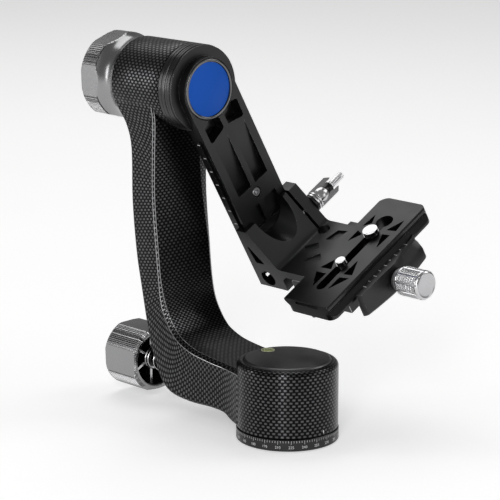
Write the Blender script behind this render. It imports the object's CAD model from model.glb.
"""The gimbal tripod head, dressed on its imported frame. Metres, +Z up, the frame's own axes."""

import math

import bmesh
import bpy
from mathutils import Matrix, Vector
from mathutils.kdtree import KDTree


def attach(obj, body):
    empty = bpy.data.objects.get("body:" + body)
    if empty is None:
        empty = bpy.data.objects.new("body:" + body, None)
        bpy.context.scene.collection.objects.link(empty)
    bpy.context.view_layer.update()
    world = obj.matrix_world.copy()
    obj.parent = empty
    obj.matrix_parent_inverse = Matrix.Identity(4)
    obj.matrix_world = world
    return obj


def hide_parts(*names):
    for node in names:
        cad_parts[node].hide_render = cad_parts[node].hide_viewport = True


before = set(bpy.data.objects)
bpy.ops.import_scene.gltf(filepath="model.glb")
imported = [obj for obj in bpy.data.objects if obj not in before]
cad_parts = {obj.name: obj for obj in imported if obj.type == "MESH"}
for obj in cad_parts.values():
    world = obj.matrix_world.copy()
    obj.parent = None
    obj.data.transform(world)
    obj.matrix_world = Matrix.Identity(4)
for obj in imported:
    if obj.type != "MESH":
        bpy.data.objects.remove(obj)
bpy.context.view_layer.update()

MM = 0.001
TILT_HEIGHT = 197.0 * MM
SWING_ANGLE = math.radians(30.0)

# Steps round a turned piece
LARGE = 128
MIDDLE = 64
SMALL = 40

# One cell of the carbon weave, in millimetres
WEAVE_ROW = 1.85
WEAVE_COLUMN = 3.3


# Node materials
class Tree:
    """A Principled material and short ways to add nodes to it."""

    def __init__(self, name):
        self.material = bpy.data.materials.new(name)
        self.material.use_nodes = True
        self.nodes = self.material.node_tree.nodes
        self.links = self.material.node_tree.links
        self.shader = self.nodes["Principled BSDF"]

    def put(self, socket, value):
        if isinstance(value, bpy.types.NodeSocket):
            self.links.new(value, socket)
        else:
            socket.default_value = value

    def node(self, kind, values=(), **settings):
        made = self.nodes.new(kind)
        for key, value in settings.items():
            setattr(made, key, value)
        for key, value in dict(values).items():
            self.put(made.inputs[key], value)
        return made

    def math(self, operation, a, b=0.0):
        return self.node("ShaderNodeMath", {0: a, 1: b}, operation=operation).outputs[0]

    def noise(self, vector, scale, detail=3.0, roughness=0.5):
        values = {"Vector": vector, "Scale": scale, "Detail": detail, "Roughness": roughness}
        return self.node("ShaderNodeTexNoise", values).outputs["Fac"]

    def ramp(self, fac, low, high, start=0.0, end=1.0):
        """A number carried smoothly from low to high as fac goes from start to end."""
        values = {"Value": fac, "From Min": start, "From Max": end, "To Min": low, "To Max": high}
        return self.node("ShaderNodeMapRange", values, interpolation_type="SMOOTHSTEP").outputs["Result"]

    def mix(self, fac, low, high):
        made = self.node("ShaderNodeMix", data_type="RGBA")
        self.put(made.inputs[0], fac)
        made.inputs[6].default_value = (*low, 1.0)
        made.inputs[7].default_value = (*high, 1.0)
        return made.outputs[2]

    def bump(self, height, distance, strength=1.0):
        return self.node("ShaderNodeBump", {"Height": height, "Distance": distance,
                                            "Strength": strength}).outputs[0]

    def coords(self, stretch=(1, 1, 1)):
        point = self.node("ShaderNodeTexCoord").outputs["Object"]
        return self.node("ShaderNodeMapping", {"Vector": point, "Scale": stretch}).outputs[0]

    def set(self, **values):
        for key, value in values.items():
            self.put(self.shader.inputs[key.replace("_", " ").title().replace("Ior", "IOR")], value)
        return self.material


def carbon(name, streak):
    """Plain-weave carbon under resin: staggered bright tows across dark ones, from a UV in millimetres.

    streak draws the highlights out across the tows, as bundled fibres do.
    """
    tree = Tree(name)
    uv = tree.node("ShaderNodeUVMap", uv_map="weave").outputs[0]
    split = tree.node("ShaderNodeSeparateXYZ", {0: uv})
    rows = tree.math("DIVIDE", split.outputs[1], WEAVE_ROW)
    odd = tree.math("MULTIPLY", tree.math("FLOORED_MODULO", tree.math("FLOOR", rows), 2.0), 0.5)
    columns = tree.math("ADD", tree.math("DIVIDE", split.outputs[0], WEAVE_COLUMN), odd)
    across = tree.math("ABSOLUTE", tree.math("SUBTRACT", tree.math("FRACT", columns), 0.5))
    up = tree.math("ABSOLUTE", tree.math("SUBTRACT", tree.math("FRACT", rows), 0.5))
    tow = tree.math("MULTIPLY", tree.ramp(across, 1.0, 0.0, 0.19, 0.33),
                    tree.ramp(up, 1.0, 0.0, 0.16, 0.42))
    uneven = tree.ramp(tree.noise(tree.coords(), 260.0, 2.0), 0.72, 1.15, 0.3, 0.7)
    colour = tree.mix(tree.math("MULTIPLY", tow, uneven), (0.0085, 0.0085, 0.009), (0.115, 0.115, 0.118))
    tangent = tree.node("ShaderNodeTangent", direction_type="UV_MAP", uv_map="weave").outputs[0]
    return tree.set(base_color=colour, metallic=1.0, roughness=tree.ramp(tow, 0.36, 0.29),
                    normal=tree.bump(tow, 0.00005, 0.4), tangent=tangent, anisotropic=streak,
                    anisotropic_rotation=0.25)


def metal(name, colour, roughness, grain=2600.0, spread=0.12, depth=0.000004, stretch=(1, 1, 1),
          metallic=1.0):
    """Anodised or machined metal: fine grain in the surface, colour and roughness a little uneven."""
    tree = Tree(name)
    fine = tree.noise(tree.coords(stretch), grain, 2.0, 0.6)
    broad = tree.noise(tree.coords(), 38.0, 3.0)
    low = tuple(c * (1 - spread) for c in colour)
    high = tuple(c * (1 + spread) for c in colour)
    rough = tree.ramp(broad, roughness * 0.86, roughness * 1.16, 0.3, 0.7)
    return tree.set(base_color=tree.mix(broad, low, high), metallic=metallic, roughness=rough,
                    normal=tree.bump(fine, depth))


def paint(name, colour, roughness, coat=0.0):
    """Lacquer or print, with faint orange peel."""
    tree = Tree(name)
    peel = tree.noise(tree.coords(), 900.0, 2.0)
    broad = tree.noise(tree.coords(), 60.0, 3.0)
    low = tuple(c * 0.94 for c in colour)
    return tree.set(base_color=tree.mix(broad, low, colour),
                    roughness=tree.ramp(peel, roughness * 0.9, roughness * 1.1),
                    normal=tree.bump(peel, 0.000004), coat_weight=coat, coat_roughness=0.06)


def liquid():
    tree = Tree("level_liquid")
    cloud = tree.noise(tree.coords(), 300.0)
    return tree.set(base_color=tree.mix(cloud, (0.42, 0.5, 0.13), (0.55, 0.63, 0.2)), roughness=0.08,
                    coat_weight=1.0, coat_roughness=0.02, normal=tree.bump(cloud, 0.00001))


BLACK = metal("black_anodised", (0.05, 0.05, 0.051), 0.36)
EDGE = metal("machined_edge", (0.42, 0.42, 0.42), 0.26, spread=0.2)
BASE_BLACK = metal("base_anodised", (0.045, 0.045, 0.046), 0.33)
RING_BLACK = metal("ring_anodised", (0.055, 0.055, 0.056), 0.28, 3000.0, stretch=(6, 0.3, 0.3),
                   depth=0.000004)
KNOB_GREY = metal("knob_anodised", (0.3, 0.3, 0.305), 0.24, 2400.0, 0.05, 0.0000012, stretch=(5, 0.4, 0.4))
SILVER = metal("silver_anodised", (0.6, 0.6, 0.61), 0.24, 2200.0, 0.05, 0.0000012, stretch=(5, 0.4, 0.4))
SADDLE = metal("lever_saddle", (0.03, 0.03, 0.031), 0.3)
SPUN = metal("spun_face", (0.55, 0.55, 0.56), 0.3, 1800.0, 0.05, 0.0000012)
STEEL = metal("turned_steel", (0.45, 0.45, 0.46), 0.3, 1800.0, 0.08, 0.000003, stretch=(1, 1, 7))
BRASS = metal("turned_brass", (0.6, 0.42, 0.16), 0.34, 1800.0, 0.08, 0.000003)
CAP_GREY = metal("cap_anodised", (0.12, 0.12, 0.122), 0.36, 3200.0, 0.06)
RIDGE = metal("resin_ridge", (0.34, 0.34, 0.345), 0.22, 700.0, 0.35, 0.000004)
WHITE = paint("scale_white", (0.8, 0.8, 0.8), 0.5)
BLUE = paint("blue_lacquer", (0.012, 0.105, 0.54), 0.42)
BLUE.node_tree.nodes["Principled BSDF"].inputs["Specular IOR Level"].default_value = 0.12
LEVEL = paint("level_ring_plastic", (0.5, 0.52, 0.34), 0.35, 0.2)
LIQUID = liquid()
CARBON = carbon("carbon_weave", 0.75)
CARBON_ARM = carbon("carbon_weave_arm", 0.0)


# Making and cutting pieces
BEVEL_ANGLE = math.radians(28)
WELD_POINTS = 1e-7
WELD_CUTS = 2e-6
WELD_SLIVERS = 1e-6
FLAT_ANGLE = math.radians(0.4)


def keep(obj, body, materials, nodes=(), bevel=None, smooth=32.0):
    """Finishes a piece: materials, smooth shading, softened edges, and the body that it rides on."""
    looks = materials if isinstance(materials, list) else [materials]
    numbers = [min(face.material_index, len(looks) - 1) for face in obj.data.polygons]
    obj.data.materials.clear()
    for look in looks:
        obj.data.materials.append(look)
    obj.data.polygons.foreach_set("material_index", numbers)
    obj.data.shade_smooth()
    obj.data.set_sharp_from_angle(angle=math.radians(smooth))
    if bevel:
        width, edge_slot = bevel
        edges = obj.modifiers.new("edges", "BEVEL")
        edges.width = width
        edges.segments = 2
        edges.limit_method = "ANGLE"
        edges.angle_limit = BEVEL_ANGLE
        edges.material = edge_slot
        edges.harden_normals = True
    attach(obj, body)
    if nodes:
        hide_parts(*nodes)
    return obj


def link(obj, parent=None):
    obj.parent = parent
    bpy.context.scene.collection.objects.link(obj)
    return obj


# The swing frame: origin on the tilt axis, +Z up along the swing arm at the photographed pose
SWING = link(bpy.data.objects.new("swing_frame", None))
SWING.location = (0, 0, TILT_HEIGHT)
SWING.rotation_euler = (SWING_ANGLE, 0, 0)

# Turns a turned piece's height, or stands a prism's height, along an axis
TURN = {"X": Matrix.Rotation(math.pi / 2, 4, "Y"), "Y": Matrix.Rotation(-math.pi / 2, 4, "X"),
        "Z": Matrix()}
STAND = {
    "X": Matrix(((0, 0, 1, 0), (1, 0, 0, 0), (0, 1, 0, 0), (0, 0, 0, 1))),
    "Y": Matrix(((0, 1, 0, 0), (0, 0, 1, 0), (1, 0, 0, 0), (0, 0, 0, 1))),
    "Z": Matrix(),
}


def mesh_object(name, points, faces, parent=None, matrix=None):
    mesh = bpy.data.meshes.new(name)
    mesh.from_pydata([tuple(p) for p in points], [], faces)
    if matrix is not None:
        mesh.transform(matrix)
    shape = bmesh.new()
    shape.from_mesh(mesh)
    bmesh.ops.remove_doubles(shape, verts=shape.verts, dist=WELD_POINTS)
    bmesh.ops.recalc_face_normals(shape, faces=shape.faces)
    shape.to_mesh(mesh)
    shape.free()
    return link(bpy.data.objects.new(name, mesh), parent)


def grid_faces(rings, steps):
    """Quads between rings of points, each ring being closed."""
    faces = []
    for ring in range(rings - 1):
        for step in range(steps):
            after = (step + 1) % steps
            faces.append((ring * steps + step, ring * steps + after, (ring + 1) * steps + after,
                          (ring + 1) * steps + step))
    return faces


def skin(name, rings, parent=None, matrix=None, caps=True):
    """A closed skin over equal rings of points."""
    steps = len(rings[0])
    faces = grid_faces(len(rings), steps)
    if caps:
        faces.append(tuple(range(steps)))
        faces.append(tuple((len(rings) - 1) * steps + i for i in range(steps)))
    return mesh_object(name, [p for ring in rings for p in ring], faces, parent, matrix)


def turned(name, profile, steps, axis="Z", at=(0, 0, 0), parent=None, wobble=None):
    """Turns (radius, height) points about an axis. A profile that starts off the axis becomes a ring."""
    solid = profile[0][0] == 0
    rows = [p for p in profile if p[0] > 0]
    rings = []
    for radius, height in rows:
        ring = []
        for step in range(steps):
            angle = math.tau * step / steps
            r = radius if wobble is None else wobble(radius, height, angle)
            ring.append((r * math.cos(angle), r * math.sin(angle), height))
        rings.append(ring)
    if not solid:
        rings.append(rings[0])
    return skin(name, rings, parent, Matrix.Translation(at) @ TURN[axis], caps=solid)


def cylinder(name, radius, low, high, steps=MIDDLE, axis="Z", at=(0, 0, 0), parent=None):
    return turned(name, [(0, high), (radius, high), (radius, low), (0, low)], steps, axis, at, parent)


def prism(name, outline, low, high, axis, parent=None):
    rings = [[(a, b, c) for a, b in outline] for c in (low, high)]
    return skin(name, rings, parent, STAND[axis])


def box(name, low, high, parent=None):
    outline = [(low[0], low[1]), (high[0], low[1]), (high[0], high[1]), (low[0], high[1])]
    return prism(name, outline, low[2], high[2], "Z", parent)


def carve(obj, cutters, joins=()):
    """Joins and cuts in one go, and clears the helpers away."""
    for other, operation in [(j, "UNION") for j in joins] + [(c, "DIFFERENCE") for c in cutters]:
        modifier = obj.modifiers.new(other.name, "BOOLEAN")
        modifier.operation = operation
        modifier.object = other
    bpy.context.view_layer.update()
    graph = bpy.context.evaluated_depsgraph_get()
    mesh = bpy.data.meshes.new_from_object(obj.evaluated_get(graph))
    obj.modifiers.clear()
    obj.data = mesh
    shape = bmesh.new()
    shape.from_mesh(mesh)
    bmesh.ops.remove_doubles(shape, verts=shape.verts, dist=WELD_CUTS)
    bmesh.ops.dissolve_degenerate(shape, dist=WELD_SLIVERS, edges=shape.edges)
    bmesh.ops.dissolve_limit(shape, angle_limit=FLAT_ANGLE, verts=shape.verts, edges=shape.edges)
    shape.to_mesh(mesh)
    shape.free()
    for other in [*joins, *cutters]:
        bpy.data.objects.remove(other, do_unlink=True)
    return obj


def merged(name, objects):
    """Several loose pieces of one kind as a single mesh."""
    points, faces = [], []
    bpy.context.view_layer.update()
    for obj in objects:
        start = len(points)
        points += [obj.matrix_world @ v.co for v in obj.data.vertices]
        faces += [tuple(start + i for i in f.vertices) for f in obj.data.polygons]
        bpy.data.objects.remove(obj, do_unlink=True)
    mesh = bpy.data.meshes.new(name)
    mesh.from_pydata(points, [], faces)
    return link(bpy.data.objects.new(name, mesh))


def scaled(outline):
    return [(a * MM, b * MM) for a, b in outline]


def circle(radius, height, steps):
    """A ring of points for a skin, from millimetres."""
    angles = [math.tau * step / steps for step in range(steps)]
    return [(radius * MM * math.cos(angle), radius * MM * math.sin(angle), height * MM) for angle in angles]


def chamfered(bore, outer, low, high, chamfer):
    """The profile of a washer or sleeve with softened rims, in metres from millimetres."""
    rim = [(outer - chamfer, high), (outer, high - chamfer), (outer, low + chamfer), (outer - chamfer, low)]
    return scaled([(bore, high), *rim, (bore, low)])


def arc(centre, radius, start, end, count):
    angles = [math.radians(start + (end - start) * i / (count - 1)) for i in range(count)]
    return [(centre[0] + radius * math.cos(a), centre[1] + radius * math.sin(a)) for a in angles]


def smooth_line(points, per_span):
    """A curve through the points, with per_span steps between each two."""
    padded = [points[0], *points, points[-1]]
    line = []
    for before, a, b, after in zip(padded, padded[1:], padded[2:], padded[3:]):
        for step in range(per_span):
            t = step / per_span
            weights = (2 * t**2 - t - t**3, 2 - 5 * t**2 + 3 * t**3, t + 4 * t**2 - 3 * t**3, t**3 - t**2)
            corners = (before, a, b, after)
            line.append(tuple(sum(w * c[i] for w, c in zip(weights, corners)) / 2 for i in range(len(a))))
    line.append(tuple(points[-1]))
    return line


def rounded(outline, radius, steps=3):
    """The outline with every corner rounded, radius being one size or one for each corner."""
    radii = radius if isinstance(radius, (list, tuple)) else [radius] * len(outline)
    made = []
    for index, corner in enumerate(outline):
        before = Vector(outline[index - 1])
        after = Vector(outline[(index + 1) % len(outline)])
        corner = Vector(corner)
        back = (before - corner).normalized()
        on = (after - corner).normalized()
        half = math.acos(max(-1, min(1, back.dot(on)))) / 2
        reach = min(radii[index] / max(math.tan(half), 1e-4), (before - corner).length * 0.45,
                    (after - corner).length * 0.45)
        start = corner + back * reach
        end = corner + on * reach
        for step in range(steps + 1):
            t = step / steps
            made.append(tuple(start * (1 - t) ** 2 + corner * 2 * t * (1 - t) + end * t**2))
    return made


def mirrored(outline):
    return [(a, -b) for a, b in reversed(outline)]


def put_uv(obj, uv_of, name="weave"):
    """Writes a UV for each face corner, with uv_of(point, face centre, normal) in millimetres."""
    layer = obj.data.uv_layers.new(name=name)
    for face in obj.data.polygons:
        for loop in face.loop_indices:
            point = obj.data.vertices[obj.data.loops[loop].vertex_index].co
            layer.data[loop].uv = uv_of(point / MM, face.center / MM, face.normal)


def words(name, text, size, matrix, thickness):
    """Plain figures as a thin mesh in the XY plane, centred, then moved by the matrix."""
    curve = bpy.data.curves.new(name, "FONT")
    curve.body = text
    curve.size = size
    curve.align_x = "CENTER"
    curve.align_y = "CENTER"
    curve.extrude = thickness
    curve.resolution_u = 3
    obj = link(bpy.data.objects.new(name, curve))
    bpy.context.view_layer.update()
    mesh = bpy.data.meshes.new_from_object(obj.evaluated_get(bpy.context.evaluated_depsgraph_get()))
    bpy.data.objects.remove(obj, do_unlink=True)
    mesh.transform(matrix)
    return link(bpy.data.objects.new(name, mesh))


# Base plate and its degree scale
BASE_RADIUS = 30.0 * MM
BASE_HEIGHT = 6.8 * MM
BASE_BORE = 8.3 * MM
BASE_CHAMFER = 0.35 * MM
SPINDLE_SCREWS = 3
SPINDLE_SCREW_CIRCLE = 11.8 * MM
SPINDLE_SCREW_TURN = math.radians(25)
SCALE_START = 265
SCALE_STEP = 3
NUMBER_STEP = 15
TICK_WIDTH = 0.2 * MM
PRINT_LIFT = 0.012 * MM


def wrap_on_base(obj, lift):
    """Bends a flat thing in the XZ plane round the base, its X becoming the way round."""
    for vertex in obj.data.vertices:
        x, y, z = vertex.co
        angle = x / BASE_RADIUS
        radius = BASE_RADIUS + lift - y
        vertex.co = (radius * math.cos(angle), radius * math.sin(angle), z)
    return obj


def base_plate():
    r, h, c = BASE_RADIUS, BASE_HEIGHT, BASE_CHAMFER
    profile = [(BASE_BORE, h), (r - c, h), (r, h - c), (r, c), (r - c, 0), (BASE_BORE, 0)]
    plate = turned("base_ring", profile, LARGE)
    sink = [(0, 2 * h), (1.8 * MM, 2 * h), (1.8 * MM, 2.4 * MM), (3.1 * MM, 2.4 * MM), (3.1 * MM, -h),
            (0, -h)]
    holes = []
    for index in range(SPINDLE_SCREWS):
        angle = SPINDLE_SCREW_TURN + math.tau * index / SPINDLE_SCREWS
        at = (SPINDLE_SCREW_CIRCLE * math.cos(angle), SPINDLE_SCREW_CIRCLE * math.sin(angle), 0)
        holes.append(turned(f"hole_{index}", sink, SMALL, at=at))
    keep(carve(plate, holes), "base", [BASE_BLACK, EDGE], ["base_plate"])
    marks = []
    top = h - 0.5 * MM
    for degree in range(0, 360, SCALE_STEP):
        x = math.radians(degree - SCALE_START) * r
        tall = 1.25 * MM if degree % NUMBER_STEP else 2.1 * MM
        tick = box(f"tick_{degree}", (x - TICK_WIDTH / 2, -0.01 * MM, top - tall),
                   (x + TICK_WIDTH / 2, 0.01 * MM, top))
        marks.append(wrap_on_base(tick, PRINT_LIFT))
        if degree % NUMBER_STEP == 0:
            stand = Matrix.Translation((x, 0, 2.35 * MM)) @ Matrix.Rotation(math.pi / 2, 4, "X")
            number = words(f"number_{degree}", str(degree), 2.25 * MM, stand, 0.01 * MM)
            marks.append(wrap_on_base(number, PRINT_LIFT))
    keep(merged("base_scale", marks), "base", WHITE)


# Carbon main arm: base body, bent arm and barrel
BODY_RADIUS = 29.7
BODY_TOP = 46.4
SHOULDER = 3.0
ARM_HALF_WIDTH = 22.0
ARM_REAR_ROUNDING = 1.3
ARM_END_FROM = -16.0
ARM_END_RADIUS = 21.0
ARM_END_DEPTH = 13.0
SECTION_STEPS = 4
STEPS_PER_SPAN = 5
BARREL_FLARE_FROM = 174.0
BARREL_FLARE_LENGTH = 13.0
BARREL_FLARE = 1.9
BASE_FLARE_FROM = -36.0
BASE_FLARE_LENGTH = 21.0
BASE_FLARE_BELOW = 60
BASE_FLARE = 3.9
BARREL_RADIUS = 26.0


def weave_body():
    shoulder = arc((BODY_RADIUS - SHOULDER, BODY_TOP - SHOULDER), SHOULDER, 90, 0, 9)
    profile = [(26.0, BODY_TOP), *shoulder, (BODY_RADIUS, 30), (BODY_RADIUS, 20), (BODY_RADIUS, 8.0),
               *arc((BODY_RADIUS - 0.7, 7.8), 0.7, 0, -90, 5), (16.0, 7.1), (16.0, 10.0), (14.3, 10.0),
               (14.3, 43.6), (26.0, 43.6)]
    body = turned("arm_base_body", scaled(profile), LARGE)

    def uv_of(point, centre, normal):
        turn = math.atan2(centre.y, centre.x)
        angle = math.atan2(point.y, point.x)
        angle += math.tau * round((turn - angle) / math.tau)
        radius = math.hypot(point.x, point.y)
        edge = max(0.0, BODY_RADIUS - radius) * (1 if point.z > 20 else -1)
        return (angle * BODY_RADIUS + 1.2, point.z + edge)

    put_uv(body, uv_of)
    return body


def barrel():
    r = BARREL_RADIUS
    height = TILT_HEIGHT / MM
    profile = [(13.3, -83.0), (r - 0.5, -83.0), *arc((r - 0.5, -83.5), 0.5, 60, 0, 3), (r, -97), (r, -111),
               *arc((r - 0.8, -124.2), 0.8, 0, -90, 5), (13.3, -125.0), (13.3, -117.1), (10.0, -117.1),
               (10.0, -90.9), (13.3, -90.9)]
    made = turned("arm_barrel", scaled(profile), LARGE, "X", (0, 0, TILT_HEIGHT))

    def uv_of(point, centre, normal):
        turn = math.atan2(centre.y, centre.z - height)
        angle = math.atan2(point.y, point.z - height)
        angle += math.tau * round((turn - angle) / math.tau)
        radius = math.hypot(point.y, point.z - height)
        return (point.x + (r - radius), angle * r)

    put_uv(made, uv_of)
    return made


def arm_sections():
    """Back and front points of the arm's side view, paired from the barrel down to the base."""
    back = [(-124.7, 188.5), (-123.6, 181.6), (-116.8, 172.0), (-112.9, 158.5), (-112.5, 127.0),
            (-109.4, 96.7), (-105.2, 75.7), (-100.0, 52.5), (-94.6, 35.0), (-87.6, 21.0), (-79.0, 13.7),
            (-62.0, 11.5), (-43.5, 12.1), (-31.5, 11.3), (-24.0, 8.4), (-15.0, 7.3)]
    front = [(-90.7, 188.5), (-90.8, 181.0), (-91.2, 168.5), (-91.7, 156.0), (-91.9, 130.0), (-89.2, 100.0),
             (-86.8, 79.5), (-84.0, 66.8), (-79.6, 58.4), (-74.0, 51.8), (-68.4, 48.0), (-58.0, 44.3),
             (-43.5, 42.2), (-32.3, 41.3), (-24.0, 41.0), (-15.0, 41.0)]
    return smooth_line(back, STEPS_PER_SPAN), smooth_line(front, STEPS_PER_SPAN)


def arm_half_width(x, z):
    """The arm's half width, flaring where it meets the barrel and the base."""
    wide = ARM_HALF_WIDTH
    if z > BARREL_FLARE_FROM:
        wide += BARREL_FLARE * min(1.0, (z - BARREL_FLARE_FROM) / BARREL_FLARE_LENGTH) ** 2
    if x > BASE_FLARE_FROM and z < BASE_FLARE_BELOW:
        wide += BASE_FLARE * min(1.0, (x - BASE_FLARE_FROM) / BASE_FLARE_LENGTH) ** 2
    return wide


def blend_value(value, table):
    """A number read off a table of (place, number), straight between its entries."""
    for (a, low), (b, high) in zip(table, table[1:]):
        if value <= b:
            t = max(0.0, (value - a) / (b - a))
            return low + (high - low) * t
    return table[-1][1]


def arm():
    back, front = arm_sections()
    lengths = [0.0]
    for a, b, c, d in zip(back, back[1:], front, front[1:]):
        lengths.append(lengths[-1] + (math.dist(a, b) + math.dist(c, d)) / 2)
    rings, spots = [], []
    for (bx, bz), (fx, fz), length in zip(back, front, lengths):
        across = Vector((fx - bx, fz - bz))
        deep = across.length
        across.normalize()
        z = (bz + fz) / 2
        wide = arm_half_width((bx + fx) / 2, z)
        near = blend_value(-z, [(-190, 1.0), (-80, 1.0), (-55, 2.2), (-40, 2.4), (-20, 2.4)])
        far_y = blend_value(-z, [(-190, 7.6), (-152, 7.0), (-125, 4.7), (-99, 2.4), (-20, 2.4)])
        far_t = blend_value(-z, [(-190, 1.6), (-152, 1.6), (-99, 1.6), (-60, 2.2), (-20, 2.4)])
        rear = ARM_REAR_ROUNDING
        outline = [(0, wide - rear), (0, -(wide - rear)), (rear, -wide), (deep - near, -wide),
                   (deep, -(wide - near)), (deep, wide - far_y), (deep - far_t, wide), (rear, wide)]
        radii = [1.2, 1.2, 1.2, 0.55, 0.55, 0.55, 0.55, 1.2]
        ring = []
        for t, y in rounded(outline, radii, SECTION_STEPS):
            x = bx + across.x * t
            if bx > ARM_END_FROM:
                x = -math.sqrt(max(ARM_END_RADIUS**2 - y**2, ARM_END_DEPTH**2))
            ring.append((x * MM, y * MM, (bz + across.y * t) * MM))
            spots.append((length, y, t))
        rings.append(ring)
    obj = skin("arm_bent_body", rings)
    nearest = KDTree(len(spots))
    for index, point in enumerate(point for ring in rings for point in ring):
        nearest.insert(Vector(point) / MM, index)
    nearest.balance()

    def uv_of(point, centre, normal):
        length, y, t = spots[nearest.find(point)[1]]
        if abs(normal.y) > 0.72:
            return (t + 22.0, length)
        return (y, length)

    put_uv(obj, uv_of)
    steps = len(rings[0])
    per_corner = SECTION_STEPS + 1
    ridges = [corner * per_corner + step for corner in (3, 4) for step in range(SECTION_STEPS)]
    for face in obj.data.polygons[:(len(rings) - 1) * steps]:
        face.material_index = int(face.index % steps in ridges)
    return obj


def main_arm():
    for obj, looks in ((weave_body(), [CARBON]), (barrel(), [CARBON]), (arm(), [CARBON_ARM, RIDGE])):
        keep(obj, "main_arm", looks, ["main_arm"], smooth=40.0)
    diamond = [(1.15 * MM, 0), (0, 0.5 * MM), (-1.15 * MM, 0), (0, -0.5 * MM)]
    mark = prism("pan_index_mark", diamond, -0.02 * MM, 0.02 * MM, "Y")
    place = Matrix.Translation((BODY_RADIUS * MM, 0, 9.4 * MM))
    mark.data.transform(place @ Matrix.Rotation(math.pi / 2, 4, "Z"))
    keep(mark, "main_arm", WHITE)


# Pan cap, bubble level and the rings of the barrel
LEVEL_TURN = 171.5
LEVEL_PLACE = 19.7


def pan_cap():
    profile = [(0, 47.65), (24.0, 47.65), (24.35, 47.6), (25.45, 46.95), (25.7, 46.6), (25.7, 44.3),
               (0, 44.3)]
    cap = turned("cap_disc", scaled(profile), LARGE)
    angle = math.radians(LEVEL_TURN)
    at = (LEVEL_PLACE * MM * math.cos(angle), LEVEL_PLACE * MM * math.sin(angle), 0)
    keep(carve(cap, [cylinder("well", 4.5 * MM, 44.75 * MM, 49 * MM, MIDDLE, at=at)]), "main_arm",
         [CAP_GREY, EDGE], ["pan_cap"])
    ring = [(4.2, 47.72), (4.2, 45.05), (3.3, 45.05), (3.3, 47.7), (3.45, 47.85), (4.05, 47.85)]
    keep(turned("level_ring", scaled(ring), MIDDLE, at=at), "main_arm", LEVEL, ["bubble_level_cup"])
    glass = [(0, 47.8), (1.6, 47.76), (2.7, 47.6), (3.0, 47.4), (3.0, 45.05), (0, 45.05)]
    keep(turned("level_vial", scaled(glass), MIDDLE, at=at), "main_arm", LIQUID, ["bubble_level_vial"])
    mark = [(1.55, 47.82), (1.55, 47.7), (1.35, 47.7), (1.35, 47.82)]
    keep(turned("level_circle", scaled(mark), SMALL, at=at), "main_arm", BASE_BLACK)
    bubble = [(0, 47.95), (0.45, 47.9), (0.85, 47.75), (0.9, 47.6), (0, 47.5)]
    keep(turned("level_bubble", scaled(bubble), SMALL, at=(at[0] + 0.3 * MM, at[1], 0)), "main_arm", LEVEL)


def barrel_rings():
    at = (0, 0, TILT_HEIGHT)
    r = BARREL_RADIUS
    front = [(8.6, -77.35), (r - 0.35, -77.35), (r, -77.7), (r, -79.4), (r - 0.3, -79.6), (r - 0.3, -79.9),
             (r, -80.1), (r, -82.2), (r - 0.5, -82.7), (8.6, -82.7)]
    friction = [(8.6, -73.1), (r - 0.35, -73.1), (r, -73.4), (r, -74.6), (r - 0.25, -74.8),
                (r - 0.25, -75.0), (r, -75.2), (r, -76.5), (r - 0.5, -77.05), (8.6, -77.05)]
    for name, profile, node in (("ring_front", front, "barrel_front_ring"),
                                ("ring_friction", friction, "friction_ring")):
        keep(turned(name, scaled(profile), LARGE, "X", at), "main_arm", RING_BLACK, [node])


# Knobs: their rings run along X, with the angle from Y towards Z
SERRATION = math.radians(3.1)
STEPS_PER_FLAT = 120
TILT_KNOB_FLATS = 5
TILT_KNOB_TURN = math.radians(110.0)
TILT_KNOB_RADIUS = 27.0
TILT_KNOB_APOTHEM = 25.2
TILT_KNOB_END = -154.0
TILT_LAND_NEAR = -152.6
TILT_LAND_FAR = -140.0
TILT_SHOULDER = 26.45
TILT_SHOULDER_END = 24.9
TILT_SHOULDER_SAG = 8.6
TILT_SHOULDER_LENGTH = 14.4
TILT_KNOB_MOUTH = 20.1
TILT_KNOB_BORE = 7.5
PAN_KNOB_FLATS = 4
PAN_KNOB_TURN = math.radians(2.0)
PAN_KNOB_RADIUS = 20.8
PAN_KNOB_APOTHEM = 18.95
PAN_KNOB_END = -142.5
PAN_LAND_NEAR = -141.2
PAN_LAND_FAR = -115.6
END_TAPER = 0.9
FRONT_TAPER = 1.1
PAN_KNOB_HEIGHT = 23.5 * MM
PAN_KNOB_SPOKES = 6
END_SHARE = 0.93


def knob_rings(places, flats, first, radius_at, apothem, serrated, depth=0.8):
    """Rings of a knob with flats, and with fine teeth on the lands between them where serrated says so."""
    steps = flats * STEPS_PER_FLAT
    rings = []
    for x in places:
        land = radius_at(x)
        ring = []
        for step in range(steps):
            angle = math.tau * step / steps
            turn = (angle - first) * flats / math.tau
            off = (turn - round(turn)) * math.tau / flats
            plane = apothem(x) / math.cos(off)
            r = land
            if serrated(x) and land < plane + 0.2:
                from_land = math.pi / flats - abs(off)
                wave = math.cos(from_land / SERRATION * math.tau)
                r = land - depth * (0.5 - 0.5 * wave) ** 1.5
            r = min(r, plane)
            ring.append((r * MM * math.cos(angle), r * MM * math.sin(angle), x * MM))
        rings.append(ring)
    return rings


def narrowed(ring, radius, x):
    """A ring's points drawn in to one radius at x."""
    made = []
    for a, b, _ in ring:
        share = radius * MM / math.hypot(a, b)
        made.append((a * share, b * share, x * MM))
    return made


def knob_end(ring, x):
    return [(a * END_SHARE, b * END_SHARE, x * MM) for a, b, _ in ring]


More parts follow.
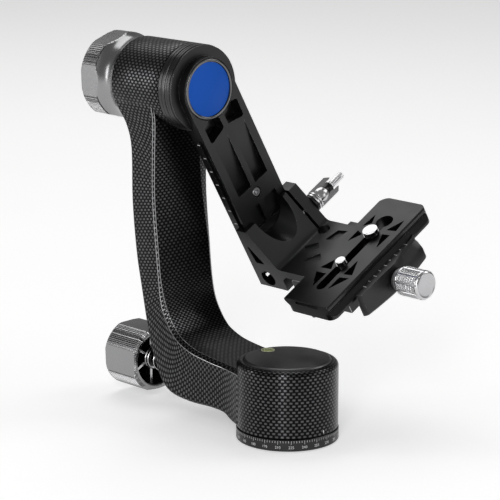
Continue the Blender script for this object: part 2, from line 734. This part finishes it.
def tilt_knob():
    def radius_at(x):
        if x < TILT_LAND_NEAR:
            return TILT_KNOB_RADIUS - (TILT_LAND_NEAR - x) * END_TAPER
        if x < TILT_LAND_FAR:
            return TILT_KNOB_RADIUS
        t = (x - TILT_LAND_FAR) / TILT_SHOULDER_LENGTH
        return TILT_SHOULDER - TILT_SHOULDER_SAG * t * (1 - t) + (TILT_SHOULDER_END - TILT_SHOULDER) * t

    places = [-154.0, -153.6, -153.0, -152.6, -150, -147, -144, -141.2, -140.6, -140.01, -139.9, -139.2]
    places += [-138.4 + i * 0.55 for i in range(22)] + [-126.3, -126.0, -125.7]
    rings = knob_rings(places, TILT_KNOB_FLATS, TILT_KNOB_TURN, radius_at, lambda x: TILT_KNOB_APOTHEM,
                       lambda x: -152.7 < x < -140.3)
    hollow = [narrowed(rings[-1], radius, x) for radius, x in (
        (TILT_KNOB_MOUTH, -125.7), (TILT_KNOB_MOUTH, -130.0), (TILT_KNOB_BORE, -130.0),
        (TILT_KNOB_BORE, -144.5))]
    stand = Matrix.Translation((0, 0, TILT_HEIGHT)) @ STAND["X"]
    obj = skin("tilt_knob_shell", [knob_end(rings[0], TILT_KNOB_END), *rings, *hollow], matrix=stand)
    keep(obj, "tilt_lock", KNOB_GREY, ["tilt_knob"], smooth=24.0)
    plate = [(0, -154.05), (18.5, -154.05), (19.2, -153.8), (19.2, -153.0), (0, -153.0)]
    end = turned("tilt_knob_end_plate", scaled(plate), LARGE, "X", (0, 0, TILT_HEIGHT))
    keep(end, "tilt_lock", BASE_BLACK)


def pan_knob():
    def radius_at(x):
        if x < PAN_LAND_NEAR:
            return PAN_KNOB_RADIUS - (PAN_LAND_NEAR - x) * END_TAPER
        if x > PAN_LAND_FAR:
            return PAN_KNOB_RADIUS - (x - PAN_LAND_FAR) * FRONT_TAPER
        return PAN_KNOB_RADIUS

    def apothem_at(x):
        return PAN_KNOB_APOTHEM if x < -115.4 else PAN_KNOB_APOTHEM + (x + 115.4) * 0.5

    places = [-142.5, -142.0, -141.6, -141.2, -140, -134, -128, -122, -118, -116.4, -115.6, -115.2, -114.8,
              -114.4, -114.0]
    rings = knob_rings(places, PAN_KNOB_FLATS, PAN_KNOB_TURN, radius_at, apothem_at,
                       lambda x: -141.3 < x < -113.0)
    hollow = [narrowed(rings[-1], radius, x) for radius, x in (
        (17.6, -114.0), (16.9, -114.3), (16.4, -115.0), (16.4, -135.5), (7.4, -135.5), (7.4, -118.4),
        (7.0, -118.0), (3.3, -118.0), (3.3, -138.9))]
    stand = Matrix.Translation((0, 0, PAN_KNOB_HEIGHT)) @ STAND["X"]
    obj = skin("pan_knob_shell", [knob_end(rings[0], PAN_KNOB_END), *rings, *hollow], matrix=stand)
    for face in obj.data.polygons:
        out = math.hypot(face.center.y, face.center.z - PAN_KNOB_HEIGHT) / MM
        face.material_index = int(face.center.x > -136 * MM and 8.0 < out < 16.8)
    keep(obj, "pan_lock", [KNOB_GREY, BASE_BLACK], ["pan_knob"], smooth=24.0)
    spokes = []
    for index in range(PAN_KNOB_SPOKES):
        spoke = box(f"spoke_{index}", (-0.9 * MM, 7.0 * MM, -133.0 * MM),
                    (0.9 * MM, 16.7 * MM, -121.0 * MM))
        spoke.data.transform(stand @ Matrix.Rotation(math.tau * index / PAN_KNOB_SPOKES, 4, "Z"))
        spokes.append(spoke)
    keep(merged("pan_knob_spokes", spokes), "pan_lock", SILVER, bevel=(0.2 * MM, 0))
    for name, low, high, outer, look, node in (
        ("pan_neck_ring_outer", -117.7, -116.4, 6.8, SILVER, "pan_neck_washer_outer"),
        ("pan_neck_sleeve", -116.1, -112.7, 5.6, BASE_BLACK, "pan_neck_collar"),
        ("pan_neck_ring_inner", -112.4, -111.1, 6.8, SILVER, "pan_neck_washer_inner"),
        ("pan_lock_tube", -110.8, -79.8, 6.5, RING_BLACK, "pan_lock_sleeve"),
    ):
        body = "main_arm" if node == "pan_lock_sleeve" else "pan_lock"
        ring = chamfered(3.3, outer, low, high, 0.25)
        keep(turned(name, ring, MIDDLE, "X", (0, 0, PAN_KNOB_HEIGHT)), body, look, [node])


# Short ways to make pieces in the swing frame, from millimetres
def rod(name, radius, low, high, steps, axis="X", place=(0, 0, 0)):
    return cylinder(name, radius * MM, low * MM, high * MM, steps, axis, [v * MM for v in place], SWING)


def lathed(name, profile, steps, axis="X", place=(0, 0, 0), wobble=None):
    return turned(name, scaled(profile), steps, axis, [v * MM for v in place], SWING, wobble)


def bar(name, outline, low, high, axis="Z"):
    """A prism. Along X its outline is in Y and Z, along Y in X and Z, along Z in X and Y."""
    turned_over = [(b, a) for a, b in outline] if axis == "Y" else outline
    return prism(name, scaled(turned_over), low * MM, high * MM, axis, SWING)


def block(name, low, high):
    return box(name, [v * MM for v in low], [v * MM for v in high], SWING)


# Swing arm, in the swing frame
ARM_FACE = -66.3
ARM_BACK = -76.5
HALF = 19.25
PLATE_EDGE = -71.6
DOVETAIL_HALF = 17.0
HEAD_RADIUS = 25.6
STOP_UPPER = -77.0
STOP_LOWER = -121.0
MARKS = 10
MARK_STEP = 10.0
FIRST_MARK = -28.0
PRINT = 0.02


def swing_arm():
    lip, slope = ARM_FACE - 1.3, ARM_FACE - 1.3 - 2.25
    half = [(ARM_BACK, HALF), (PLATE_EDGE, HALF), (PLATE_EDGE, DOVETAIL_HALF), (slope, DOVETAIL_HALF),
            (lip, HALF), (ARM_FACE, HALF)]
    body = bar("swing_plate", half + mirrored(half), -126, -24)
    joins = [block("neck", (ARM_BACK, -HALF, -25), (ARM_FACE, HALF, 0)),
             rod("boss", HALF, PLATE_EDGE, ARM_FACE, LARGE),
             rod("head", HEAD_RADIUS, -72.75, -71.55, LARGE)]
    well = [(0, -65), (18.5, -65), (18.5, -68.6), (14.3, -68.6), (14.3, -71.5), (8.3, -71.5), (8.3, -74),
            (0, -74)]
    cuts = [rod("room", HEAD_RADIUS + 1, -78, -72.8, LARGE), lathed("well", well, LARGE)]
    for side in (-1, 1):
        top = arc((0, 0), 18.7, 276, 303, 6)
        window = rounded([top[0], top[-1], (15.05, -17.4), (15.05, -29.0), (13.2, -29.4), (2.0, -26.6)],
                         [0.8, 1.2, 1.6, 1.8, 0.6, 0.8], 4)
        window = [(side * y, z) for y, z in window]
        if side < 0:
            window.reverse()
        cuts.append(bar(f"window_{side}", window, -75.1, -60, "X"))
        wedge = [(ARM_FACE, -32), (ARM_FACE + 1, -32), (ARM_FACE + 1, -71), (ARM_FACE - 4.5, -71)]
        cuts.append(bar(f"wedge_{side}", wedge, *sorted((side * 2.0, side * 13.5)), "Y"))
        low, high = sorted((side * 2.0, side * (10.5 if side < 0 else 13.5)))
        pocket = rounded([(low, -98), (high, -98), (high, -84), (low, -84)], 1.0, 3)
        cuts.append(bar(f"pocket_{side}", pocket, ARM_FACE - 2.5, -60, "X"))
    for place, seat in ((STOP_UPPER, ARM_FACE - 2.6), (STOP_LOWER, ARM_FACE)):
        bore = [(0, -60), (3.3, -60), (3.3, seat), (2.0, seat), (2.0, -75.8), (0, -75.8)]
        cuts.append(lathed(f"bore_{place}", bore, SMALL, place=(0, 0, place)))
    carve(body, cuts, joins)
    keep(body, "swing", [BLACK, EDGE], ["swing_arm"], bevel=(0.28 * MM, 1))
    marks = []
    for index in range(MARKS):
        w = FIRST_MARK - MARK_STEP * index
        marks.append(block(f"mark_{index}", (-74.2, -(HALF + PRINT), w - 0.25),
                           (-71.9, -(HALF - PRINT), w + 0.25)))
    keep(merged("swing_scale", marks), "swing", WHITE)
    for name, place, seat, node in (("stop_screw_sunk", STOP_UPPER, ARM_FACE - 2.3, "stop_screw_upper"),
                                    ("stop_screw_end", STOP_LOWER, ARM_FACE + 0.3, "stop_screw_lower")):
        head = seat + 2.0
        profile = [(0, head), (2.6, head), (3.0, head - 0.4), (3.0, seat), (1.7, seat), (1.7, -75.4),
                   (0, -75.4)]
        screw = lathed(name, profile, SMALL, place=(0, 0, place))
        hexagon = [(0, head + 1), (1.5, head + 1), (1.5, head - 1.2), (0, head - 1.2)]
        keep(carve(screw, [lathed("socket", hexagon, 6, place=(0, 0, place))]), "swing", STEEL, [node])


def pivot_cap():
    rim = [(0, -67.35), (16.4, -67.35), (16.5, -66.2), (16.9, -65.95), (17.7, -65.95), (18.1, -66.35),
           (18.2, -66.8), (18.2, -68.3), (0, -68.3)]
    bright = metal("rim_bright", (0.16, 0.16, 0.162), 0.2, 3000.0, stretch=(6, 0.3, 0.3))
    keep(lathed("pivot_rim", rim, LARGE), "swing", bright, ["pivot_cap"], smooth=50.0)
    disc = [(0, -66.5), (15.9, -66.5), (16.15, -66.65), (16.2, -66.9), (16.2, -67.05), (0, -67.05)]
    blue = keep(lathed("pivot_blue_disc", disc, LARGE), "swing", BLUE, ["pivot_disc"])


# Cradle, in the swing frame
PLATFORM = -116.3
RAIL_BOTTOM = -126.7
RAIL_X = -7.5
RAIL_HALF = 19.0
RAIL_LIP_TOP = RAIL_BOTTOM + 1.5
RAIL_NECK_TOP = RAIL_LIP_TOP + 3.3
RAIL_NEAR = -42.3
RAIL_FAR = 55.3
SLOT_NEAR = -26.5
SLOT_FAR = 35.0
LEVER_X = -58.0
LEVER_Z = -106.5
TRIANGLES = (
    ((-20.7, -12.6), (-15.9, -3.6), (-11.9, -12.1)), ((-20.7, -16.4), (-12.6, -16.1), (-13.4, -28.6)),
    ((0.3, -0.3), (-0.6, -13.8), (6.0, -12.9)), ((6.0, -15.7), (-1.3, -16.8), (-1.5, -28.1)),
    ((5.5, 39.7), (-0.7, 28.4), (6.7, 29.3)), ((-0.7, 24.5), (5.3, 25.0), (4.4, 12.3)),
    ((-18.2, 39.6), (-19.7, 27.4), (-14.9, 31.6)), ((-19.7, 23.5), (-19.8, 12.7), (-14.3, 21.0)),
)
CHEVRONS = (
    ((-46, 0.9), (-39.1, 6.7), (-34.2, 2.1)), ((-37, -9.3), (-30.1, -1.7), (-25.4, -6.2)),
    ((-36.3, 10.3), (-33.5, 19.9), (-26.2, 21.1)),
)


def corner_cut(name, corner, toward, reach, low, high):
    """What rounds off one upright corner of the rail."""
    (x, y), (out_x, out_y), (wide, long) = corner, toward, reach
    turns = [math.radians(3 + 7 * step) for step in range(13)]
    curve = [(x - out_x * wide * (1 - math.sin(turn)), y - out_y * long * (1 - math.cos(turn)))
             for turn in turns]
    outline = [(x - out_x * wide, y + out_y), *curve, (x + out_x, y - out_y * long), (x + out_x, y + out_y)]
    if out_x * out_y > 0:
        outline.reverse()
    return bar(name, outline, low, high)


def chevron(index, a, b, c):
    """A pocket in the foot, deep along two sides and running out at its last corner."""
    d = (a[0] + c[0] - b[0], a[1] + c[1] - b[1])
    points = [(*corner, PLATFORM - 1.3) for corner in (a, b, c)] + [(*d, PLATFORM + 0.25)]
    points += [(*corner, PLATFORM + 1) for corner in (a, b, c, d)]
    faces = [(0, 1, 2, 3), (7, 6, 5, 4), (0, 4, 5, 1), (1, 5, 6, 2), (2, 6, 7, 3), (3, 7, 4, 0)]
    return mesh_object(f"chevron_{index}", [(x * MM, y * MM, z * MM) for x, y, z in points], faces, SWING)


def rail_cuts():
    """The rail's rounded corners, end recess, slot, keyhole, stop holes and triangular pockets."""
    cuts = []
    for name, side, end, out, reach, high in (
        ("near_left", -1, RAIL_NEAR, -1, (5.0, 5.0), RAIL_NECK_TOP),
        ("near_right", 1, RAIL_NEAR, -1, (5.0, 5.0), RAIL_NECK_TOP),
        ("far_left", -1, RAIL_FAR, 1, (7.7, 10.5), -110), ("far_right", 1, RAIL_FAR, 1, (6.0, 6.0), -110),
    ):
        corner = (RAIL_X + side * RAIL_HALF, end)
        cuts.append(corner_cut(f"corner_{name}", corner, (side, out), reach, -130, high))
    cuts.append(block("end_step", (-16.7, -43, -119.4), (1.9, -41.6, -117.2)))
    for name, half_wide, low, high in (("slot", 3.2, -130, -110), ("undercut", 7.5, -130, -122.1)):
        slot = arc((RAIL_X, SLOT_NEAR), half_wide, 180, 360, 17)
        slot += arc((RAIL_X, SLOT_FAR), half_wide, 0, 180, 17)
        cuts.append(bar(name, slot, low, high))
    cuts.append(rod("keyhole", 5.6, -130, -110, MIDDLE, "Z", (RAIL_X, SLOT_FAR, 0)))
    for place in (-39.3, 52.3):
        cuts.append(rod("stop", 2.5, -130, -122.8, SMALL, "Z", (RAIL_X, place, 0)))
    for index, triangle in enumerate(TRIANGLES):
        turn = sum((b[0] - a[0]) * (b[1] + a[1]) for a, b in zip(triangle, triangle[1:] + triangle[:1]))
        points = list(triangle) if turn < 0 else list(reversed(triangle))
        cuts.append(bar(f"triangle_{index}", rounded(points, 0.4, 3), -121.3, -110))
    return cuts


def cradle():
    foot = [(-49.28, -114.04), (-48.75, -114.82), (-48.1, -115.43), (-47.33, -115.9), (-46.4, -116.2),
            (-45.4, PLATFORM)]
    outline = [(-71.2, -90.2), (-62.7, -90.2), *foot, (-21.2, PLATFORM), (-21.2, -121.6), (-44.5, -121.6),
               (-47.5, -124.6), (-47.5, -132.8), (-71.2, -132.8)]
    body = bar("cradle_body", outline, -22.7, 26.4, "Y")
    top, neck = 18.3, 15.7
    half = [(RAIL_HALF, RAIL_BOTTOM), (RAIL_HALF, RAIL_LIP_TOP), (neck, RAIL_NECK_TOP),
            (top, PLATFORM - 2.4), (top, PLATFORM - 0.9), (top - 0.9, PLATFORM)]
    section = [(RAIL_X + a, b) for a, b in half] + [(RAIL_X - a, b) for a, b in reversed(half)]
    rail = bar("rail", section, RAIL_NEAR, RAIL_FAR, "Y")
    channel = [(-80, 17.3), (-69.97, 17.3), (-67.72, 19.55), (-66.0, 19.55)]
    low, high = -134, -80
    cuts = [bar("channel", channel + mirrored(channel), low, high)]
    notch = cylinder("notch", 13.3 * MM, -10 * MM, 24 * MM, LARGE, "Z")
    lean = Matrix.Rotation(math.pi / 2 + math.radians(24), 4, "Y")
    notch.data.transform(Matrix.Translation((ARM_FACE * MM, 0, -89 * MM)) @ lean)
    notch.parent = SWING
    cuts.append(notch)
    cuts.append(block("slit", (ARM_FACE, 17, low), (-44, 19, high)))
    cuts.append(rod("relief", 4, low, high, MIDDLE, "Z", (-44, 18, 0)))
    cuts.append(rod("side_hole", 5.5, -24, -8.7, MIDDLE, "Y", (-61, 0, -125.8)))
    pocket = rounded([(-67.7, -100.2), (-58.3, -114.3), (-65.7, -114.3)], 0.8, 3)
    cuts.append(bar("side_pocket", pocket, -24, -19.7, "Y"))
    cuts.append(block("groove", (ARM_FACE, -3.6, low), (-63.4, 3.6, -115.1)))
    cuts.append(rod("bolt", 2.8, 10.2, 28, SMALL, "Y", (LEVER_X, 0, LEVER_Z)))
    cuts += rail_cuts()
    cuts += [chevron(index, *corners) for index, corners in enumerate(CHEVRONS)]
    carve(body, cuts, [rail])
    keep(body, "cradle", [BLACK, EDGE], ["cradle_bracket"], bevel=(0.3 * MM, 1))


# Wing lever, in the swing frame
LEVER_BASE = 30.5
LEVER_NECK = 3.4
FLUTES_FROM = 45.4


def wing_lever():
    place = (LEVER_X, 0, LEVER_Z)
    for name, low, look, node, body in (
        ("lever_ring_inner", 26.7, BASE_BLACK, "lever_washer_inner", "cradle"),
        ("lever_ring_outer", 28.6, SILVER, "lever_washer_outer", "wing_lever"),
    ):
        ring = [(2.8, low + 1.6), (5.7, low + 1.6), (6.0, low + 1.3), (6.0, low + 0.3), (5.7, low),
                (2.8, low)]
        keep(lathed(name, ring, MIDDLE, "Y", place), body, look, [node])
    base, neck = LEVER_BASE, LEVER_NECK
    hub = [(0, 14.8), (neck, 14.8), (neck - 0.2, 13.6), (neck - 0.25, 12.0), (neck + 0.1, 10.6), (4.0, 9.4),
           (4.6, 8.2), (4.95, 6.8), (5.05, 5.4), (4.95, 4.2), (4.7, 3.1), (4.4, 2.2), (4.5, 1.8),
           (5.4, 1.5), (6.0, 1.2), (6.0, 0.2), (5.8, 0), (0, 0)]
    lever = lathed("wing_lever_hub", [(r, base + h) for r, h in hub], MIDDLE, "Y", place)
    side = [(6.2, 0.6), (6.2, 16.0), (neck, 19.6), (neck, 14.0)]
    outline = [(a, base + b) for a, b in side] + [(-a, base + b) for a, b in reversed(side)]
    wing = bar("wings", rounded(outline, [0.4, 0.9, 0.5, 0.3, 0.3, 0.5, 0.9, 0.4], 3), -1.3, 1.3)
    at = Vector(place) * MM
    wing.data.transform(Matrix.Translation(at) @ Matrix.Rotation(math.radians(45), 4, "Y"))
    carve(lever, [rod("bore", 2.6, 29, 52, SMALL, "Y", place)], [wing])
    for face in lever.data.polygons:
        centre = (face.center - at) / MM
        saddle = 9.6 < centre.y - base < 14.9 and math.hypot(centre.x, centre.z) < 4.4
        face.material_index = int(saddle and abs(face.normal.y) < 0.9)
    keep(lever, "wing_lever", [SILVER, SADDLE], ["wing_lever"], bevel=(0.3 * MM, 0), smooth=30.0)

    def fluted(radius, height, angle):
        if height < FLUTES_FROM * MM or radius < 2 * MM:
            return radius
        return radius - 0.3 * MM * (0.5 - 0.5 * math.cos(angle * 6))

    profile = [(0, 57.5), (1.8, 57.5), (2.2, 57.1), (2.3, 52), (2.3, 45.6), (2.3, 45.2), (2.3, 10.5),
               (0, 10.5)]
    keep(lathed("wing_bolt_rod", profile, 72, "Y", place, fluted), "wing_lever", SILVER,
         ["wing_lever_bolt"])


# Camera screws, in the swing frame
NECK_RADIUS = 2.9
HEAD_STEPS = 48
THREAD_STEPS = 64


def threaded(radius, pitch, low, high, per_turn=10, depth=0.5):
    """Rings of a screw thread between two heights, ending in a slightly domed top."""
    rings = []
    count = int((high - low) / pitch * per_turn)
    for index in range(count + 1):
        z = low + (high - low) * index / count
        fade = min(1.0, (high - z) / pitch, (z - low) / (pitch * 0.5))
        ring = []
        for step in range(THREAD_STEPS):
            angle = math.tau * step / THREAD_STEPS
            phase = (z / pitch - angle / math.tau) % 1.0
            groove = abs(phase * 2 - 1) ** 1.2
            r = radius - depth * groove * max(0.0, fade) - 0.15 * max(0.0, 1 - (high - z) / 0.6)
            ring.append((r * MM * math.cos(angle), r * MM * math.sin(angle), z * MM))
        rings.append(ring)
    for share, lift in ((0.9, 0.12), (0.6, 0.3), (0.25, 0.4), (0.02, 0.42)):
        rings.append(circle((radius - 0.35) * share, high + lift, THREAD_STEPS))
    return rings


def camera_screws():
    for name, radius, place, height, pitch in (("small", 3.175, -6.6, 4.9, 1.27),
                                               ("large", 4.76, 22.5, 4.8, 1.4)):
        low, neck = RAIL_BOTTOM + 0.3, RAIL_BOTTOM + 2.9
        outline = [(6.3, low), (6.8, low + 0.4), (6.8, neck - 0.3), (6.5, neck), (NECK_RADIUS, neck),
                   (NECK_RADIUS, PLATFORM + 0.3), (radius - 0.4, PLATFORM + 0.35)]
        rings = [circle(r, z, HEAD_STEPS) for r, z in outline]
        rings += threaded(radius, pitch, PLATFORM + 0.4, PLATFORM + height - 0.4)
        screw = skin(f"screw_{name}", rings, SWING, Matrix.Translation((RAIL_X * MM, place * MM, 0)))
        coin = block("coin", (RAIL_X - 8, place - 0.6, low - 1), (RAIL_X + 8, place + 0.6, low + 1.3))
        keep(carve(screw, [coin]), f"{name}_screw", SILVER, [f"camera_screw_{name}"], smooth=50.0)


# Clamp, in the swing frame
CLAMP_MIDDLE = 6.35
CLAMP_SCREW = -131.9
CLAMP_NEAR = -22.5
CLAMP_FAR = 35.2
CLAMP_BOTTOM = -138.8
CLAMP_TOP = -122.2
CLAMP_FLOOR = RAIL_BOTTOM - 0.3
CLAMP_SPLIT = 3.7
TOOTH_NOSE = CLAMP_TOP - 0.9
TOOTH_OUTER = 19.3
TOOTH_REACH = 19.43 - (TOOTH_NOSE - RAIL_LIP_TOP)
PIN_OFFSET = 17
RULE_MIDDLE = 5.85
RULE_STEP = 5.0
RULE_X = 13.4
KNURL_STEPS = 440
KNURL_ROWS = 60
KNURL_PITCH = 1.25
FLUTES = 10


def knurled_rings(radius, low, high):
    """A cylinder with diamond knurling between smooth flutes."""
    rings = []
    for row in range(KNURL_ROWS + 1):
        x = low + (high - low) * row / KNURL_ROWS
        ends = min(max(0.0, (x - low - 0.8) * 2), max(0.0, (high - 0.8 - x) * 2))
        ring = []
        for step in range(KNURL_STEPS):
            angle = math.tau * step / KNURL_STEPS
            flute = abs(((angle / math.tau * FLUTES) % 1.0) - 0.5) * 2
            one_way = math.sin(angle * 22 + x / KNURL_PITCH * math.pi)
            other_way = math.sin(angle * 22 - x / KNURL_PITCH * math.pi)
            groove = 1 - min(abs(one_way), abs(other_way))
            inside = min(1.0, max(0.0, (0.74 - flute) * 12)) * min(1.0, ends)
            ditch = min(1.0, max(0.0, (flute - 0.8) * 10))
            r = radius - 0.5 * inside * groove**2 - 0.55 * ditch
            ring.append((r * MM * math.cos(angle), r * MM * math.sin(angle), x * MM))
        rings.append(ring)
    return rings


def tooth(side):
    """The clamp's lip round one edge of the rail, from its top to the rail's underside."""
    return [(RAIL_X + side * (TOOTH_REACH + 1.8), CLAMP_TOP), (RAIL_X + side * TOOTH_REACH, TOOTH_NOSE),
            (RAIL_X + side * TOOTH_OUTER, TOOTH_NOSE - (TOOTH_OUTER - TOOTH_REACH)),
            (RAIL_X + side * TOOTH_OUTER, CLAMP_FLOOR)]


def pin_bores(low, high):
    places = [(0, CLAMP_MIDDLE + side, CLAMP_SCREW) for side in (-PIN_OFFSET, PIN_OFFSET)]
    return [rod("pin", 2.3, low, high, SMALL, place=place) for place in places]


def clamp_block():
    bottom, top = CLAMP_BOTTOM, CLAMP_TOP
    outline = [*tooth(-1), (CLAMP_SPLIT, CLAMP_FLOOR), (CLAMP_SPLIT, bottom), (-37, bottom),
               (-40, bottom + 3), (-40, top - 1.5), (-38.5, top)]
    body = bar("clamp_block", outline, CLAMP_NEAR, CLAMP_FAR, "Y")
    cuts = [rod("thread", 3.8, -8.3, 20, SMALL, place=(0, CLAMP_MIDDLE, CLAMP_SCREW)),
            rod("bush", 6.8, bottom - 1, bottom + 7.1, MIDDLE, "Z", (-22, CLAMP_MIDDLE, 0))]
    carve(body, cuts + pin_bores(-14.3, 20))
    keep(body, "clamp", [BLACK, EDGE], ["clamp_body"], bevel=(0.35 * MM, 1))


def clamp_jaw():
    near, far, bottom, top = CLAMP_NEAR, CLAMP_FAR, CLAMP_BOTTOM, CLAMP_TOP
    outline = [*reversed(tooth(1)), (13.6, top), (13.6, bottom + 1.2), (13.2, bottom), (6, bottom),
               (4, bottom + 2.8), (4, CLAMP_FLOOR)]
    jaw = bar("clamp_jaw_bar", outline, near, far, "Y")
    top_side = smooth_line([(17.1, near), (18.3, -12.6), (18.6, -0.9), (19.3, 8.7), (16.5, 21.0),
                            (14.0, far)], 8)
    low_side = smooth_line([(16.6, near), (18.6, -12.6), (20.3, -0.9), (20.8, 8.7), (20.4, 21.0),
                            (18.6, far)], 8)
    levels = [(bottom + 0.3, 0.0, 1.0), (bottom + 1.5, 0.0, 0.0), (-131.0, 0.0, 0.0), (-127.6, 0.35, 0.0),
              (-125.0, 0.9, 0.0), (top - 0.02, 1.0, 0.0)]
    rings = []
    for level, share, inset in levels:
        side = [(a + (c - a) * share - inset, b) for (a, b), (c, _) in zip(low_side, top_side)]
        side = [(x - 2.2 * max(0, 1 - min(y - near, far - y) / 2.2) ** 2, y) for x, y in side]
        rings.append([(x * MM, y * MM, level * MM) for x, y in [(13.2, far), (13.2, near), *side]])
    cuts = [rod("thread", 3.8, 0, 30, SMALL, place=(0, CLAMP_MIDDLE, CLAMP_SCREW))]
    carve(jaw, cuts + pin_bores(0, 10.6), [skin("belly", rings, SWING)])
    keep(jaw, "clamp_jaw", [BLACK, EDGE], ["clamp_jaw"], bevel=(0.35 * MM, 1))
    marks = []
    for index in range(-4, 5):
        place = RULE_MIDDLE + index * RULE_STEP
        reach = 1.6 if index % 2 else 2.6
        marks.append(block(f"rule_{index}", (RULE_X, place - 0.14, top - PRINT),
                           (RULE_X + reach, place + 0.14, top + PRINT)))
    keep(merged("clamp_rule", marks), "clamp_jaw", WHITE)


def clamp_knob():
    neck = [(3.8, 34.0), (3.8, 22.9), (5.7, 22.9), (5.9, 23.1), (5.9, 24.9), (7.6, 25.0), (8.3, 25.2)]
    face = [(8.5, 42.1), (8.1, 42.6), (7.6, 42.9), (7.3, 43.0), (7.15, 42.95), (7.0, 42.8), (6.0, 42.72),
            (3.0, 42.5), (0.01, 42.3)]
    rings = [circle(r, x, KNURL_STEPS) for r, x in neck] + knurled_rings(8.9, 25.6, 41.6)
    rings += [circle(r, x, KNURL_STEPS) for r, x in face]
    stand = Matrix.Translation((0, CLAMP_MIDDLE * MM, CLAMP_SCREW * MM)) @ STAND["X"]
    knob = skin("clamp_knob_head", rings, SWING, stand)
    for polygon in knob.data.polygons:
        polygon.material_index = int(polygon.center.x > 42.0 * MM and polygon.normal.x > 0.9)
    keep(knob, "clamp_knob", [SILVER, SPUN], ["clamp_knob"], smooth=50.0)


# CAD nodes that stay as packed, with a finer material
BRASS_NODES = ("pan_brake_shoe", "tilt_knob_bush")


def carried_over():
    for name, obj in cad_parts.items():
        if not obj.hide_render:
            for place in obj.material_slots:
                place.material = BRASS if name in BRASS_NODES else STEEL


# Floor, light and camera. Each lamp has a place, a size, and a brightness for each square metre.
FLOOR_HALF = 9.0
FLOOR_DROP = 0.5 * MM
CENTRE = (-0.04, 0.0, 0.11)
LAMPS = (
    ("top_softbox", (-1.0, 0.5, 1.75), (1.3, 1.3), 1.9),
    ("front_softbox", (0.87, -1.2, 0.6), (0.34, 1.5), 6.5),
    ("left_softbox", (-0.96, -0.92, 0.4), (0.3, 0.6), 4.0),
    ("elbow_softbox", (0.42, 0.94, 0.95), (0.6, 0.6), 2.2),
    ("right_fill", (1.9, 0.9, 0.7), (0.7, 1.2), 1.3),
)
WORLD_LIGHT = 0.22
SEEN_GLOW = 0.42
CAMERA_AZIMUTH = math.radians(46.58)
CAMERA_ELEVATION = math.radians(13.03)
CAMERA_TARGET = Vector((-15.24, -15.61, 111.47)) * MM
CAMERA_DISTANCE = 1265.3 * MM
CAMERA_LENS = 158.8


def stage():
    half = FLOOR_HALF
    floor = mesh_object("floor", [(-half, -half, 0), (half, -half, 0), (half, half, 0), (-half, half, 0)],
                        [(0, 1, 2, 3)])
    floor.location.z = -FLOOR_DROP
    tree = Tree("floor_white")
    cloud = tree.noise(tree.coords(), 3.0, 2.0)
    tree.set(base_color=tree.mix(cloud, (0.86, 0.86, 0.86), (0.9, 0.9, 0.9)), roughness=0.9)
    path = tree.node("ShaderNodeLightPath")
    mirrored_ray = tree.math("MAXIMUM", path.outputs["Is Glossy Ray"], path.outputs["Is Transmission Ray"])
    seen = tree.math("MAXIMUM", path.outputs["Is Camera Ray"], mirrored_ray)
    tree.set(emission_color=(1.0, 1.0, 1.0, 1.0), emission_strength=tree.math("MULTIPLY", seen, SEEN_GLOW))
    floor.data.materials.append(tree.material)
    world = bpy.data.worlds.new("studio")
    bpy.context.scene.world = world
    world.use_nodes = True
    back = world.node_tree.nodes["Background"]
    back.inputs["Color"].default_value = (1, 1, 1, 1)
    back.inputs["Strength"].default_value = WORLD_LIGHT
    for name, place, size, radiance in LAMPS:
        lamp = bpy.data.lights.new(name, "AREA")
        lamp.shape = "RECTANGLE"
        lamp.size, lamp.size_y = size
        lamp.energy = radiance * size[0] * size[1] * math.pi
        obj = link(bpy.data.objects.new(name, lamp))
        obj.location = place
        obj.rotation_euler = (Vector(CENTRE) - Vector(place)).to_track_quat("-Z", "Y").to_euler()


def camera():
    data = bpy.data.cameras.new("photo_camera")
    data.sensor_width = 36.0
    data.lens = CAMERA_LENS
    data.clip_start = 0.05
    data.clip_end = 30.0
    obj = link(bpy.data.objects.new("photo_camera", data))
    level = math.cos(CAMERA_ELEVATION)
    back = Vector((level * math.sin(CAMERA_AZIMUTH), -level * math.cos(CAMERA_AZIMUTH),
                   math.sin(CAMERA_ELEVATION)))
    right = Vector((math.cos(CAMERA_AZIMUTH), math.sin(CAMERA_AZIMUTH), 0))
    turn = Matrix((right, back.cross(right), back)).transposed()
    obj.matrix_world = Matrix.Translation(CAMERA_TARGET + back * CAMERA_DISTANCE) @ turn.to_4x4()
    bpy.context.scene.camera = obj


base_plate()
main_arm()
pan_cap()
barrel_rings()
tilt_knob()
pan_knob()
swing_arm()
pivot_cap()
cradle()
wing_lever()
camera_screws()
clamp_block()
clamp_jaw()
clamp_knob()
carried_over()
stage()
camera()
bpy.data.objects.remove(SWING, do_unlink=True)
bpy.context.scene.view_settings.view_transform = "Standard"
